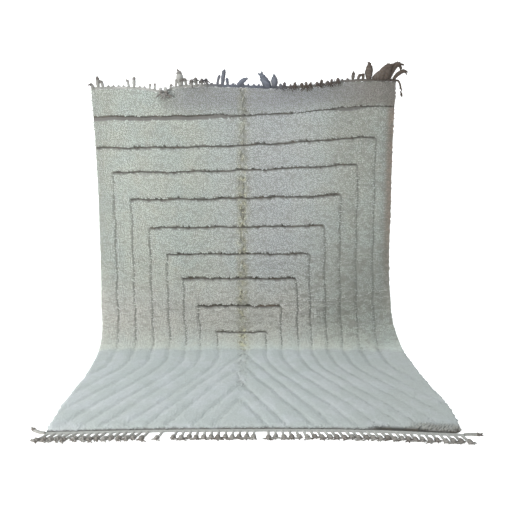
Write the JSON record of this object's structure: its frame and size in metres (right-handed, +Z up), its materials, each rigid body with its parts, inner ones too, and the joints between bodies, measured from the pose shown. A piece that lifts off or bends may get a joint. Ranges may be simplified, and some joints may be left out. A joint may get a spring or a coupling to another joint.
{
  "type": "beni ourain rug",
  "caption": "Thick ivory wool pile rug with carved nested grooves, hung by its top edge and run out over the floor, with knotted fringes at both ends.",
  "frame": {"origin": "middle of the rug's top edge, on the woven back", "axes": "+X to the right across the rug, -Y out of the pile towards the viewer, +Z up"},
  "size_m": [2.7229, 1.6786, 2.3818],
  "materials": {
    "pile_wool": "matt cut wool pile, undyed ivory",
    "fringe_wool": "matt twisted wool yarn, grey beige"
  },
  "bodies": {
    "root": {"rug": "pile_wool", "fringe_front": "fringe_wool", "fringe_top": "fringe_wool"}
  },
  "joints": []
}
